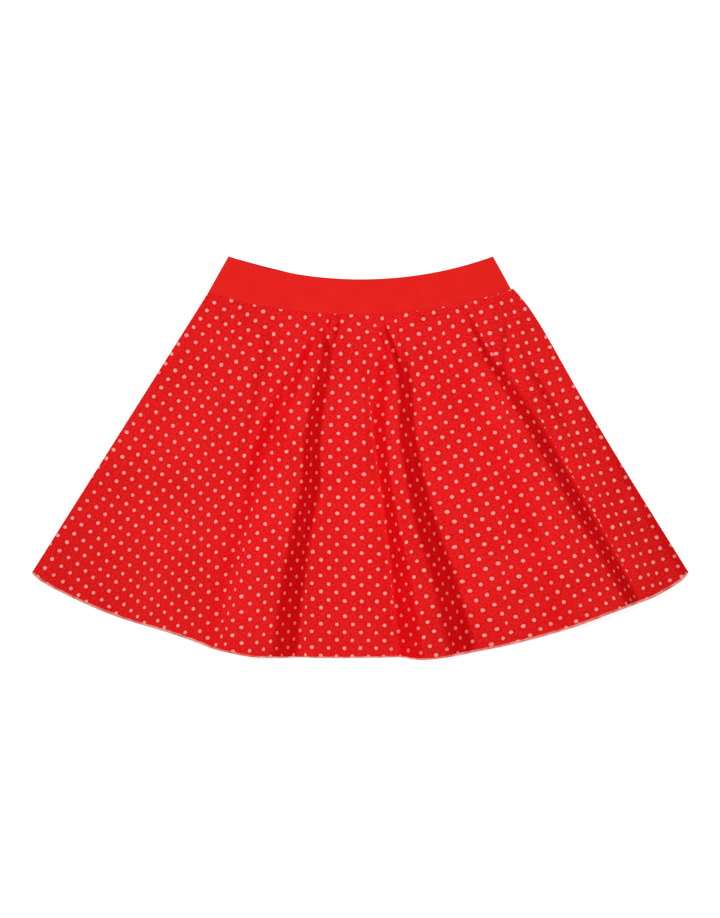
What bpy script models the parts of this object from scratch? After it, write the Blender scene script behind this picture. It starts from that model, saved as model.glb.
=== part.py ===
"""A-line skirt of stretch jersey with a plain elastic waistband, laid flat on a surface.

Metres, +Z up. The waist points to +Y and the hem to -Y. The front lies on the back, and the back's
underside rests at z = 0. The origin is on the surface, in the middle of the skirt's plan.

Laid out, the skirt is a sector of a ring. Every point of it is placed by an angle from the middle,
in degrees and positive to the right, and by how far down it lies from the waist seam (0) to the
hem (1). The flare stands up in three long flutes that run from the waist seam to the hem.
"""

from collections import namedtuple
from functools import partial
from math import cos, exp, pi, radians, sin

import bmesh
import bpy
import numpy as np
from mathutils import Vector

# Where the side edges of the laid skirt would meet, above its waist.
APEX = Vector((0.0010, 0.4687))
LEFT_SIDE, RIGHT_SIDE = -32.2, 32.1  # degrees
SIDE_REACH = 32.0

# Distances from the apex, in the middle, and what they gain at the sides.
TOP_RADIUS = 0.2636
TOP_GAIN = 0.0174
SEAM_RADIUS = 0.3041
SEAM_GAIN = 0.0230
SEAM_SLANT = 0.0023  # the seam sits lower on the left than on the right
HEM_RADIUS = 0.6985
HEM_GAIN = 0.0138

BAND_SPREAD = 0.5  # degrees that the waistband's ends open towards its top

# The right side swells over the hip, most at HIP_DOWN, and runs out towards the hem.
HIP_SWELL = 1.07  # degrees
HIP_DOWN = 0.10
HIP_LEDGE = 0.02  # how much of the swell the seam has already

SEAM_GAP = 0.0003
PANEL_WALL = 0.0012
BAND_WALL = 0.0020
BAND_CROWN = 0.0007  # how far the band's middle stands proud of its edges

FRONT_ROWS = 15
BACK_ACROSS, BACK_ROWS = 36, 12
BAND_ACROSS, BAND_ROWS = 40, 4

# Lines that run down the front. cells is the number of grid cells since the line before, waist and
# hem are its angles at the two ends, and settle says how early it reaches its hem angle. From start
# on down it stands up, to lift at the hem, where it ends lower than the plain hem line by drop.
Line = namedtuple("Line", "name cells waist hem settle start lift drop")
LINES = [
    Line("left side", 0, LEFT_SIDE, LEFT_SIDE, 1, 0.00, 0.0000, -0.0020),
    Line("left side roll", 2, -31.2, -31.3, 1, 0.00, 0.0016, 0.0010),
    Line("left side hollow", 3, -29.4, -29.8, 1, 0.05, 0.0008, 0.0024),
    Line("left crown", 6, -23.0, -24.4, 1, 0.05, 0.0055, 0.0034),
    Line("left hollow", 6, -17.0, -17.4, 2, 0.05, 0.0020, 0.0022),
    Line("left flute, outer foot", 3, -10.4, -14.1, 4, 0.10, 0.0050, 0.0040),
    Line("left flute, outer shoulder", 6, -8.8, -12.5, 4, 0.12, 0.0250, 0.0080),
    Line("left flute, ridge", 4, -6.8, -10.4, 6, 0.02, 0.0310, 0.0087),
    Line("left flute, inner shoulder", 4, -5.2, -8.5, 7, 0.00, 0.0265, 0.0068),
    Line("left flute, inner foot", 6, -3.0, -6.2, 7, 0.00, 0.0045, 0.0025),
    Line("middle hollow", 3, -1.2, -4.2, 4, 0.00, 0.0025, 0.0016),
    Line("middle crown", 6, 0.0, 0.6, 1, 0.08, 0.0060, 0.0000),
    Line("middle flute, outer foot", 4, 0.7, 4.1, 1, 0.20, 0.0050, 0.0006),
    Line("middle flute, brow", 6, 1.9, 5.1, 1, 0.20, 0.0255, 0.0038),
    Line("middle flute, ridge", 5, 3.6, 6.8, 1.4, 0.06, 0.0320, 0.0055),
    Line("middle flute, inner shoulder", 4, 4.9, 8.8, 1.4, 0.00, 0.0275, 0.0052),
    Line("middle flute, inner foot", 6, 6.6, 10.7, 1.4, 0.00, 0.0060, 0.0040),
    Line("right hollow", 3, 8.6, 12.8, 1.4, 0.00, 0.0035, 0.0038),
    Line("right slope", 5, 14.0, 17.6, 2, 0.03, 0.0110, 0.0031),
    Line("right flute, outer shoulder", 5, 18.0, 22.0, 2.6, 0.02, 0.0270, 0.0026),
    Line("right flute, ridge", 4, 19.7, 24.1, 2.6, 0.00, 0.0320, 0.0019),
    Line("right flute, brow", 3, 21.1, 25.6, 2.6, 0.00, 0.0275, 0.0021),
    Line("right flute, foot", 6, 21.9, 26.5, 2.6, 0.00, 0.0055, 0.0034),
    Line("right side hollow", 3, 24.4, 28.2, 2.6, 0.02, 0.0025, 0.0040),
    Line("right crown", 3, 28.2, 29.8, 1, 0.02, 0.0040, 0.0031),
    Line("right side roll", 3, 31.0, 31.1, 1, 0.00, 0.0016, 0.0010),
    Line("right side", 2, RIGHT_SIDE, RIGHT_SIDE, 1, 0.00, 0.0000, -0.0035),
]


def clear_scene():
    for obj in list(bpy.data.objects):
        bpy.data.objects.remove(obj)


def make_material(name, colour, roughness):
    material = bpy.data.materials.new(name)
    material.use_nodes = True
    shader = material.node_tree.nodes["Principled BSDF"]
    shader.inputs["Base Color"].default_value = (*colour, 1.0)
    shader.inputs["Roughness"].default_value = roughness
    shader.inputs["Metallic"].default_value = 0.0
    return material


# ---- plan ----


def gain(angle):
    """How much of a radius's gain applies: none in the middle, all of it at the sides."""
    return (angle / SIDE_REACH) ** 2


def top_radius(angle):
    return TOP_RADIUS + TOP_GAIN * gain(angle)


def seam_radius(angle):
    return SEAM_RADIUS + SEAM_GAIN * gain(angle) - SEAM_SLANT * angle / SIDE_REACH


def hem_radius(angle):
    return HEM_RADIUS + HEM_GAIN * gain(angle)


def swollen(angle, down):
    """The angle, moved out over the right hip by the swell, which fades towards the middle."""
    reach = (down + HIP_LEDGE) / (HIP_DOWN + HIP_LEDGE)
    swell = HIP_SWELL * reach * exp(1 - reach)
    return angle + swell * max(0.0, angle / RIGHT_SIDE) ** 3


def in_plan(angle, radius):
    turn = radians(angle)
    return APEX.x + radius * sin(turn), APEX.y - radius * cos(turn)


# ---- the front's flutes ----


def smooth_through(stations, values, at):
    """A smooth curve through the values that never overshoots them, read at the given places."""
    gaps = np.diff(stations)
    slopes = np.diff(values) / gaps
    inner = np.zeros(len(values))
    turning = slopes[:-1] * slopes[1:] <= 0
    before, after = slopes[:-1], slopes[1:]
    weight = 2 * gaps[1:] + gaps[:-1], gaps[1:] + 2 * gaps[:-1]
    with np.errstate(divide="ignore", invalid="ignore"):
        mean = sum(weight) / (weight[0] / before + weight[1] / after)
    inner[1:-1] = np.where(turning, 0.0, mean)
    inner[0], inner[-1] = slopes[0], slopes[-1]
    cell = np.clip(np.searchsorted(stations, at, side="right") - 1, 0, len(gaps) - 1)
    gap = gaps[cell]
    t = (at - stations[cell]) / gap
    rise = t * t * (3 - 2 * t)
    return (
        (1 - rise) * values[cell]
        + rise * values[cell + 1]
        + gap * t * (1 - t) ** 2 * inner[cell]
        - gap * t * t * (1 - t) * inner[cell + 1]
    )


def risen(line, down):
    """How much of its full lift a line has at this distance down, easing off towards the hem."""
    share = max(0.0, (down - line.start) / (1 - line.start))
    return share * (2 - share)


def angle_of(line, down):
    return line.hem + (line.waist - line.hem) * (1 - down) ** line.settle


def front_section(down):
    """The front's section across, at this distance down: each column's angle, lift and drop."""
    stations = np.cumsum([line.cells for line in LINES]).astype(float)
    columns = np.arange(stations[-1] + 1)
    angles = [angle_of(line, down) for line in LINES]
    lifts = [line.lift * risen(line, down) for line in LINES]
    drops = [line.drop * down**3 for line in LINES]
    rows = [np.array(values) for values in (angles, lifts, drops)]
    return [smooth_through(stations, values, columns) for values in rows]


# ---- placing the points of each piece ----


def place_front(base, sections, across, down):
    angles, lifts, drops = sections[round(down * FRONT_ROWS)]
    column = round(across * (len(angles) - 1))
    angle = swollen(angles[column], down)
    start, end = seam_radius(angle) + SEAM_GAP, hem_radius(angle)
    radius = start + down * (end - start) + drops[column]
    return (*in_plan(angle, radius), base + lifts[column])


def place_back(across, down):
    angle = swollen(LEFT_SIDE + across * (RIGHT_SIDE - LEFT_SIDE), down)
    start, end = seam_radius(angle) + SEAM_GAP, hem_radius(angle)
    side = LINES[0].drop if angle < 0 else LINES[-1].drop
    radius = start + down * (end - start) + side * down**3 * gain(angle) ** 8
    return (*in_plan(angle, radius), 0.0)


def place_band(base, crown, across, down):
    spread = BAND_SPREAD * (1 - down)
    left, right = LEFT_SIDE - spread, RIGHT_SIDE + spread
    angle = left + across * (right - left)
    start, end = top_radius(angle), seam_radius(angle)
    lift = crown * sin(pi * down) * (1 - (2 * across - 1) ** 8)
    return (*in_plan(angle, start + down * (end - start)), base + lift)


def cloth(name, across_cells, down_cells, place, wall, material, collection):
    """A wall of cloth that stands on the sheet of points given by place(across, down)."""
    mesh = bpy.data.meshes.new(name)
    sheet = bmesh.new()
    bmesh.ops.create_grid(sheet, x_segments=across_cells, y_segments=down_cells, size=1.0)
    for vertex in sheet.verts:
        vertex.co = place((1 + vertex.co.x) / 2, (1 - vertex.co.y) / 2)
    sheet.normal_update()
    sheet.to_mesh(mesh)
    sheet.free()
    mesh.shade_smooth()
    piece = bpy.data.objects.new(name, mesh)
    mesh.materials.append(material)
    collection.objects.link(piece)
    thicken = piece.modifiers.new("Wall", "SOLIDIFY")
    thicken.thickness = wall
    thicken.offset = 1.0
    thicken.use_even_offset = True
    thicken.use_quality_normals = True
    return piece


def main():
    clear_scene()
    skirt = bpy.data.collections.new("A-line skirt")
    bpy.context.scene.collection.children.link(skirt)
    jersey = make_material("Red jersey", (0.76, 0.012, 0.012), 0.85)
    band = make_material("Red waistband", (0.79, 0.018, 0.013), 0.7)

    front_base = PANEL_WALL + SEAM_GAP
    band_base = BAND_WALL + SEAM_GAP
    sections = [front_section(row / FRONT_ROWS) for row in range(FRONT_ROWS + 1)]
    front_across = sum(line.cells for line in LINES)

    place = partial(place_front, front_base, sections)
    cloth("front_panel", front_across, FRONT_ROWS, place, PANEL_WALL, jersey, skirt)
    cloth("back_panel", BACK_ACROSS, BACK_ROWS, place_back, PANEL_WALL, jersey, skirt)
    place = partial(place_band, band_base, BAND_CROWN)
    cloth("waistband_front", BAND_ACROSS, BAND_ROWS, place, BAND_WALL, band, skirt)
    place = partial(place_band, 0.0, 0.0)
    cloth("waistband_back", BAND_ACROSS, BAND_ROWS, place, BAND_WALL, band, skirt)


main()
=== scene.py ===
import math
from collections import namedtuple

import bpy
import numpy as np
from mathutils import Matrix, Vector


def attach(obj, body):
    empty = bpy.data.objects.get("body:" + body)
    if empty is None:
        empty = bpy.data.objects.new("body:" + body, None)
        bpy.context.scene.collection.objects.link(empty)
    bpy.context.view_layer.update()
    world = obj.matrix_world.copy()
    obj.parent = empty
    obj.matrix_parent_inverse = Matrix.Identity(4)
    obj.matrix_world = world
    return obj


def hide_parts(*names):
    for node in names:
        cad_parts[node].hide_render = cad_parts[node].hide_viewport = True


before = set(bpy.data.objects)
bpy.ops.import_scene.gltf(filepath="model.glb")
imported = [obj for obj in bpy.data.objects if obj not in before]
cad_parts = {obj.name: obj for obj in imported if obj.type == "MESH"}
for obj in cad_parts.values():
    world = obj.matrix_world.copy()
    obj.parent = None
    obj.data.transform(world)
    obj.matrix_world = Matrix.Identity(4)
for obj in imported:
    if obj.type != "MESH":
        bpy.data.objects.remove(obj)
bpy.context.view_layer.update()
print("frame: the packed skirt is loaded")

# The laid skirt is a sector of a ring. A point of it is placed by its angle from the middle, in
# degrees and positive to the right, and by how far down it lies from waist seam (0) to hem (1).
# Lengths are in metres unless a name or a note says mm.
skirtPlan = {
    "apex": (0.0010, 0.4687),  # where the side edges would meet, above the waist
    "leftSide": -32.2,
    "rightSide": 32.1,
    "sideReach": 32.0,  # the angle at which a radius has its full gain
    # distance from the apex in the middle, what it gains at both sides, and what the right side
    # loses and the left side gains as it slants
    "top": (0.2636, 0.0174, 0.0),
    "seam": (0.3041, 0.0230, 0.0023),
    "hem": (0.6985, 0.0138, 0.0),
    "bandSpread": 0.5,  # degrees that the waistband's ends open towards its top
    "hipSwell": 1.07,  # degrees, most at hipDown, and started at the seam by the ledge
    "hipDown": 0.10,
    "hipLedge": 0.02,
}


def radiusOf(edge, angle):
    middle, gain, slant = skirtPlan[edge]
    aside = angle / skirtPlan["sideReach"]
    return middle + gain * aside**2 - slant * aside


def swollen(angle, down):
    # the angle moved out over the right hip
    ledge = skirtPlan["hipLedge"]
    reach = (down + ledge) / (skirtPlan["hipDown"] + ledge)
    swell = skirtPlan["hipSwell"] * reach * np.exp(1 - reach)
    return angle + swell * np.maximum(0.0, angle / skirtPlan["rightSide"]) ** 3


def inPlan(angle, radius):
    turn = np.radians(angle)
    x, y = skirtPlan["apex"]
    return np.stack([x + radius * np.sin(turn), y - radius * np.cos(turn)], axis=-1)


def smoothThrough(stations, values, at):
    # a smooth curve through the values that never overshoots them
    gaps = np.diff(stations)
    slopes = np.diff(values) / gaps
    inner = np.zeros(len(values))
    before, after = slopes[:-1], slopes[1:]
    weightA, weightB = 2 * gaps[1:] + gaps[:-1], gaps[1:] + 2 * gaps[:-1]
    with np.errstate(divide="ignore", invalid="ignore"):
        mean = (weightA + weightB) / (weightA / before + weightB / after)
    inner[1:-1] = np.where(before * after <= 0, 0.0, mean)
    inner[0], inner[-1] = slopes[0], slopes[-1]
    cell = np.clip(np.searchsorted(stations, at, side="right") - 1, 0, len(gaps) - 1)
    gap = gaps[cell]
    t = (at - stations[cell]) / gap
    rise = t * t * (3 - 2 * t)
    return (
        (1 - rise) * values[cell]
        + rise * values[cell + 1]
        + gap * t * (1 - t) ** 2 * inner[cell]
        - gap * t * t * (1 - t) * inner[cell + 1]
    )


def eased(value, low, high):
    t = np.clip((value - low) / (high - low), 0.0, 1.0)
    return t * t * (3 - 2 * t)


def near(distance, reach):
    # 1 at no distance, and faded away by about twice the reach
    return np.exp(-((distance / reach) ** 2))


def summed(steps, axis=0):
    # the running sums of the steps, starting at 0
    total = np.cumsum(steps, axis=axis)
    return np.concatenate([np.zeros_like(np.take(total, [0], axis=axis)), total], axis=axis)


def unit(vectors):
    return vectors / np.linalg.norm(vectors, axis=-1, keepdims=True)


def upwardOf(vectors):
    return np.where(vectors[..., 2:] < 0, -vectors, vectors)


def normalsOf(grid):
    return upwardOf(unit(np.cross(np.gradient(grid, axis=1), np.gradient(grid, axis=0))))


def stepLengths(points, axis=0):
    return np.linalg.norm(np.diff(points, axis=axis), axis=-1)


def edgeDistances(grid):
    # how far each grid point lies from the four edges: left, right, first row, last row
    across, along = (summed(stepLengths(grid, axis), axis) for axis in (1, 0))
    return across, across[:, -1:] - across, along, along[-1:] - along


def roundedWall(distances, shape):
    # the wall's thickness, rounded off towards each edge that has a radius
    rounds = zip(distances, shape["edgeRounds"])
    nearest = np.minimum.reduce([distance / radius for distance, radius in rounds if radius])
    t = np.clip(nearest, 0.0, 1.0)
    return shape["leastWall"] + (shape["wall"] - shape["leastWall"]) * np.sqrt(1 - (1 - t) ** 2)


def stand(name, data):
    made = bpy.data.objects.new(name, data)
    bpy.context.scene.collection.objects.link(made)
    return made


def standPiece(name, mesh):
    mesh.shade_smooth()
    mesh.update()
    print(f"{name}: {len(mesh.loops) - 2 * len(mesh.polygons)} triangles")
    return stand(name, mesh)


def shell(name, under, over, places, overFinish, underFinish):
    # a closed cloth wall between two grids of points; where the print jumps at a column, the face
    # on its left reads it from the left and the face on its right reads it from the right
    index = np.arange(under[..., 0].size).reshape(under.shape[:2])
    a, b = index[:-1, :-1].ravel(), index[:-1, 1:].ravel()
    c, d = index[1:, 1:].ravel(), index[1:, :-1].ravel()
    overFaces = np.stack([d, c, b, a], axis=1)
    underFaces = np.stack([a, b, c, d], axis=1) + index.size
    ring = np.concatenate([index[0, :-1], index[:-1, -1], index[-1, :0:-1], index[:0:-1, 0]])
    after = np.roll(ring, -1)
    rim = np.stack([ring, after, after + index.size, ring + index.size], axis=1)
    faces = np.concatenate([overFaces, underFaces, rim])

    left, right = places.reshape(2, -1, 2)
    overPrint = np.stack([right[d], left[c], left[b], right[a]], axis=1)
    rimPrint = left[np.stack([ring, after, after, ring], axis=1)]
    corners = np.concatenate([overPrint, overPrint[:, ::-1], rimPrint]).astype(np.float32)

    mesh = bpy.data.meshes.new(name)
    points = np.concatenate([over.reshape(-1, 3), under.reshape(-1, 3)])
    mesh.from_pydata(points.tolist(), [], faces.tolist())
    mesh.uv_layers.new(name="clothPlace").data.foreach_set("uv", corners.ravel())
    mesh.materials.append(overFinish)
    mesh.materials.append(underFinish)
    slots = np.zeros(len(faces), np.int32)
    slots[len(overFaces) : len(overFaces) + len(underFaces)] = 1
    mesh.polygons.foreach_set("material_index", slots)
    return standPiece(name, mesh)


def threads(name, paths, radius, sides, finish):
    # round threads along the paths, capped at both ends
    points, faces = [], []
    spokes = np.linspace(0, 2 * math.pi, sides, endpoint=False)
    for path in paths:
        tangent = unit(np.gradient(path, axis=0))
        climbs = np.abs(tangent[:, 2:]) > 0.9  # too steep to be guided by the vertical
        sideways = unit(np.cross(tangent, np.where(climbs, [[1.0, 0, 0]], [[0, 0, 1.0]])))
        for step in range(1, len(path)):  # keeps each ring in turn with the one before
            before = sideways[step - 1]
            if np.dot(sideways[step], before) < 0.2:
                sideways[step] = unit(before - tangent[step] * np.dot(before, tangent[step]))
        upward = np.cross(sideways, tangent)
        ring = (
            path[:, None]
            + radius * np.cos(spokes)[None, :, None] * sideways[:, None]
            + radius * np.sin(spokes)[None, :, None] * upward[:, None]
        )
        starts = np.arange(len(path)) * sides + sum(len(p) for p in points)
        points.append(ring.reshape(-1, 3))
        for start in starts[:-1].tolist():
            for one in range(sides):
                other = (one + 1) % sides
                around = (one, other, sides + other, sides + one)
                faces.append([start + corner for corner in around])
        faces.append([int(starts[0]) + corner for corner in reversed(range(sides))])
        faces.append([int(starts[-1]) + corner for corner in range(sides)])
    mesh = bpy.data.meshes.new(name)
    mesh.from_pydata(np.concatenate(points).tolist(), [], faces)
    mesh.materials.append(finish)
    return standPiece(name, mesh)


# A crease is a line of points in plan, in mm. It rises (or sinks) by height at its middle, is width
# wide to where it has mostly faded, and fades in over the first share and out over the last.
Crease = namedtuple("Crease", "height width points fadeIn fadeOut", defaults=[0.4, 0.4])


def reliefOf(plan, creases):
    total = np.zeros(plan.shape[:2])
    for crease in creases:
        line = np.array(crease.points, float) / 1000
        steps = stepLengths(line)
        whole, passed = steps.sum(), 0.0
        nearest = np.full(plan.shape[:2], np.inf)
        share = np.zeros(plan.shape[:2])
        for start, end, length in zip(line[:-1], line[1:], steps):
            way = (end - start) / length
            along = np.clip((plan - start) @ way, 0.0, length)
            distance = np.linalg.norm(plan - start - along[..., None] * way, axis=-1)
            closer = distance < nearest
            nearest = np.where(closer, distance, nearest)
            share = np.where(closer, (passed + along) / whole, share)
            passed += length
        fade = eased(share, 0.0, crease.fadeIn) if crease.fadeIn else 1.0
        fade = fade * (1 - eased(share, 1 - crease.fadeOut, 1.0) if crease.fadeOut else 1.0)
        total += crease.height / 1000 * fade * near(nearest * 1000, crease.width)
    return total


# The rows of dots run two ways, at a right angle.
dotPrint = {
    "pitch": 0.0129,
    "slant": 45,  # degrees from the hem's line to a row of dots, where the print isn't turned
    "dotAt": (-15.95, -36.44),  # one dot in the middle of the front, in mm
    "dotTurn": -0.5,  # how far the print is turned there
    "slowWarp": 0.10,  # how far the knit's rows wander, in pitches
    "quickWarp": 0.045,
    "creaseReach": 0.030,  # over how much cloth either side a crease pulls the print
    "flankReach": 0.060,  # the same of a flute's flanks, and how much of their pull is seen
    "flankShare": 0.5,
    "pinchFade": 0.35,  # the share of its line over which a pinch fades in
    "pinchSpread": 5,  # how many times its reach a pinch is felt
}


def inPrint(ahead, up, turn):
    # a step to the right and up on the cloth, in pitches along the print's two rows of dots
    angle = np.radians(dotPrint["slant"] + turn)
    along = ahead * np.cos(angle) + up * np.sin(angle)
    over = up * np.cos(angle) - ahead * np.sin(angle)
    return np.stack([along, over], axis=-1) / dotPrint["pitch"]


def printPlaces(plan, turns):
    # where each point lies in the print, read from its left and from its right; cloth tucked into
    # a fold shows as a difference between them
    down, across = np.diff(plan, axis=0), np.diff(plan[0], axis=0)
    middle = (turns[1][0, :-1] + turns[0][0, 1:]) / 2
    seam = summed(inPrint(across[:, 0], across[:, 1], middle))
    return np.stack([
        seam + summed(inPrint(down[..., 0], down[..., 1], (turn[1:] + turn[:-1]) / 2))
        for turn in turns
    ])


def printWander(plan, relief, turn, reach):
    # how far the relief pulls the print sideways: the cloth it takes up, less its slow trend
    along = stepLengths(plan, axis=1)
    taken = summed(np.hypot(along, np.diff(relief, axis=1)) - along, axis=1)
    spots = (reach, -reach, reach / 2, -reach / 2)
    trend = [
        np.mean([np.interp(row + spot, row, pull) for spot in spots], axis=0)
        for row, pull in zip(edgeDistances(plan)[0], taken)
    ]
    return inPrint(taken - trend, 0, turn)


def printPinch(plan, turn, pinches):
    # where a fold squeezes the print: each pinch has its depth and reach in mm, and points in plan
    x, y = plan[..., 0] * 1000, plan[..., 1] * 1000
    pull = np.zeros(plan.shape[:2])
    for depth, reach, points in pinches:
        line = np.array(points[::-1], float)
        away = x - np.interp(y, line[:, 1], line[:, 0])
        low, high = line[0, 1], line[-1, 1]
        fade = 1 - eased(y, high - dotPrint["pinchFade"] * (high - low), high)
        hidden = np.tanh(away / reach) * near(away, reach * dotPrint["pinchSpread"])
        pull += depth / 1000 / 2 * hidden * fade
    return inPrint(pull, 0, turn)


def printWarp(plan, strength):
    # a slow wandering of the knit's rows; the wavelengths are in mm
    x, y = plan[..., 0] * 1000, plan[..., 1] * 1000
    slow, quick = dotPrint["slowWarp"], dotPrint["quickWarp"]
    along = slow * np.sin(x / 19 + y / 31 + 1.0) * np.cos(y / 23 - x / 57)
    over = 0.9 * slow * np.sin(y / 17 - x / 29 + 2.0) * np.cos(x / 25 + y / 61)
    along += quick * np.sin(x / 9.5 - y / 15)
    over += quick * np.cos(x / 11 + y / 13)
    return np.stack([along, over], axis=-1) * np.asarray(strength)[..., None]


def matchPrint(plan, places):
    # shifts the print so that a dot lies at its spot
    spot = np.array(dotPrint["dotAt"]) / 1000
    gap = np.linalg.norm(plan - spot, axis=-1)
    row, column = np.unravel_index(np.argmin(gap), gap.shape)
    ahead, up = spot - plan[row, column]
    return places - places[0, row, column] - inPrint(ahead, up, dotPrint["dotTurn"])


class Wire:
    # one output of a node; sums on it add Math nodes to its finish
    def __init__(self, finish, socket):
        self.finish, self.socket = finish, socket

    def __add__(self, other):
        return self.finish.math("ADD", self, other)

    def __sub__(self, other):
        return self.finish.math("SUBTRACT", self, other)

    def __rsub__(self, other):
        return self.finish.math("SUBTRACT", other, self)

    def __mul__(self, other):
        return self.finish.math("MULTIPLY", self, other)

    def __pow__(self, other):
        return self.finish.math("POWER", self, other)

    __radd__ = __add__
    __rmul__ = __mul__


class Finish:
    def __init__(self, name, roughness, specular):
        self.material = bpy.data.materials.new(name)
        self.material.use_nodes = True
        self.tree = self.material.node_tree
        self.tree.nodes.clear()
        self.shader = self.tree.nodes.new("ShaderNodeBsdfPrincipled")
        self.shader.inputs["Roughness"].default_value = roughness
        self.shader.inputs["Specular IOR Level"].default_value = specular
        output = self.tree.nodes.new("ShaderNodeOutputMaterial")
        self.tree.links.new(self.shader.outputs[0], output.inputs["Surface"])

    def node(self, kind, settings, sockets, out=0):
        made = self.tree.nodes.new(kind)
        for key, value in settings.items():
            setattr(made, key, value)
        for key, value in sockets.items():
            self.fill(made.inputs[key], value)
        return Wire(self, made.outputs[out])

    def fill(self, target, value):
        if isinstance(value, Wire):
            self.tree.links.new(value.socket, target)
        else:
            target.default_value = value

    def feed(self, key, value):
        self.fill(self.shader.inputs[key], value)

    def math(self, operation, *values):
        return self.node("ShaderNodeMath", {"operation": operation}, dict(enumerate(values)))

    def mix(self, factor, first, second, blend="MIX"):
        settings = {"data_type": "RGBA", "blend_type": blend}
        return self.node("ShaderNodeMix", settings, {0: factor, 6: first, 7: second}, out=2)

    def noise(self, place, scale, detail=2.0, roughness=0.5):
        sockets = {"Vector": place, "Scale": scale, "Detail": detail, "Roughness": roughness}
        return self.node("ShaderNodeTexNoise", {"noise_dimensions": "3D"}, sockets)

    def stretch(self, value, low, high, newLow=0.0, newHigh=1.0, kind="LINEAR"):
        settings = {"interpolation_type": kind, "clamp": True}
        sockets = {"Value": value, 1: low, 2: high, 3: newLow, 4: newHigh}
        return self.node("ShaderNodeMapRange", settings, sockets)

    def bump(self, height, strength, distance):
        sockets = {"Strength": strength, "Distance": distance, "Height": height}
        return self.node("ShaderNodeBump", {}, sockets)


def clothPlaceOf(finish):
    place = finish.node("ShaderNodeUVMap", {"uv_map": "clothPlace"}, {})
    u, v = (finish.node("ShaderNodeSeparateXYZ", {}, {0: place}, out) for out in (0, 1))
    return place, u, v


# Scales say how fine a noise is. A noise is stretched from a low and a high to new values.
jerseyFinish = {
    "red": (0.875, 0.0180, 0.0174, 1),
    "shadedRed": (0.520, 0.0012, 0.0026, 1),  # the grain's darker loops
    "patchScale": 0.16,
    "mottleScale": 5.5,
    "shade": (0.335, 0.705),
    "flankPaintedShade": (0.97, 0.28, 0.42, 1),  # painted shade: what the cloth's colour keeps on a steep flank, deeper red as if the fold's flank were shaded
    "paintedShadeFacing": (0.97, 0.78),  # how far up the cloth faces where the painted flank shade starts and where it is full
    "dot": (0.950, 0.350, 0.315, 1),
    # painted shade: the dots' colour on a steep flank
    "flankDotPaintedShade": (0.900, 0.200, 0.195, 1),
    "dotRadius": 0.156,  # in pitches of the print, as the next lengths are
    "dotSoftness": 0.040,
    "dotUneven": 0.022,  # how far dots lie off their places
    "dotSizes": 0.022,
    "dotRagged": 0.075,
    "raggedScale": 7.0,
    "wearScale": 15.0,
    "wear": (0.30, 0.62, 0.72, 1.0),
    "faintDots": (0.0, 0.12, 0.80, 1.0),
    "rimRed": (0.30, 0.002, 0.003, 1),
    "rimDepth": 0.26,  # how much darker the cloth is round a dot
    "rimStart": (0.03, 0.08),
    "rimEnd": (0.19, 0.11),
    "loopPitchMm": 0.9,
    "loopDepth": 0.00048,
    "fuzzScale": 22.0,
    "reverseShows": 0.22,  # how much of the dots shows on the wrong side
}


def printedJersey(name, showsThrough):
    look = jerseyFinish
    finish = Finish(name, 0.85, 0.04)
    place, u, v = clothPlaceOf(finish)
    cellU, cellV = finish.math("ROUND", u), finish.math("ROUND", v)
    cell = finish.node("ShaderNodeCombineXYZ", {}, {0: cellU, 1: cellV, 2: 0.0})
    chance = finish.node("ShaderNodeTexWhiteNoise", {"noise_dimensions": "2D"}, {"Vector": cell})
    cell = finish.node("ShaderNodeCombineXYZ", {}, {0: cellV, 1: cellU, 2: 3.0})
    other = finish.node("ShaderNodeTexWhiteNoise", {"noise_dimensions": "3D"}, {"Vector": cell})
    ragged = finish.noise(place, look["raggedScale"]) - 0.5
    offU = u - cellU + (chance - 0.5) * look["dotUneven"] * 2
    offV = v - cellV + (other - 0.5) * look["dotUneven"] * 2
    distance = (offU * offU + offV * offV) ** 0.5 + ragged * look["dotRagged"]
    distance = distance + (chance - 0.5) * look["dotSizes"]
    soft, radius = look["dotSoftness"], look["dotRadius"]
    dot = finish.stretch(distance, radius + soft, radius - soft, kind="SMOOTHSTEP")
    worn = finish.stretch(finish.noise(place, look["wearScale"]), *look["wear"])
    faint = finish.stretch(other, *look["faintDots"])
    dot = dot * worn * faint * showsThrough

    patches = finish.noise(place, look["patchScale"], 3.0)
    mottle = finish.noise(place, look["mottleScale"], 3.0, 0.65)
    shade = finish.stretch(mottle * 0.85 + patches * 0.20, *look["shade"])
    cloth = finish.mix(shade, look["shadedRed"], look["red"])
    start, end = (
        finish.stretch(distance, *(radius + far for far in rim))
        for rim in (look["rimStart"], look["rimEnd"])
    )
    cloth = finish.mix(start * end * look["rimDepth"], cloth, look["rimRed"])
    # Painted shade: where the cloth faces steeply sideways, its colour and its dots are painted deeper
    # red, as shade on the flanks of the folds.
    normal = finish.node("ShaderNodeNewGeometry", {}, {}, out=1)
    facing = finish.node("ShaderNodeSeparateXYZ", {}, {0: normal}, out=2)
    paintedShadeMask = finish.stretch(finish.math("ABSOLUTE", facing), *look["paintedShadeFacing"])
    cloth = finish.mix(paintedShadeMask, cloth, look["flankPaintedShade"], "MULTIPLY")
    dotColour = finish.mix(paintedShadeMask, look["dot"], look["flankDotPaintedShade"])
    finish.feed("Base Color", finish.mix(dot, cloth, dotColour))

    turns = dotPrint["pitch"] * 1000 / look["loopPitchMm"] * math.pi / math.sqrt(2)
    ribs = finish.math("SINE", (u - v) * turns)
    rows = finish.math("SINE", (u + v) * turns)
    fuzz = finish.noise(place, look["fuzzScale"], 3.0, 0.6)
    relief = (ribs * 0.5 + rows * 0.35) * 0.35 + fuzz * 0.9
    finish.feed("Normal", finish.bump(relief, 0.35, look["loopDepth"]))
    return finish.material


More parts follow.
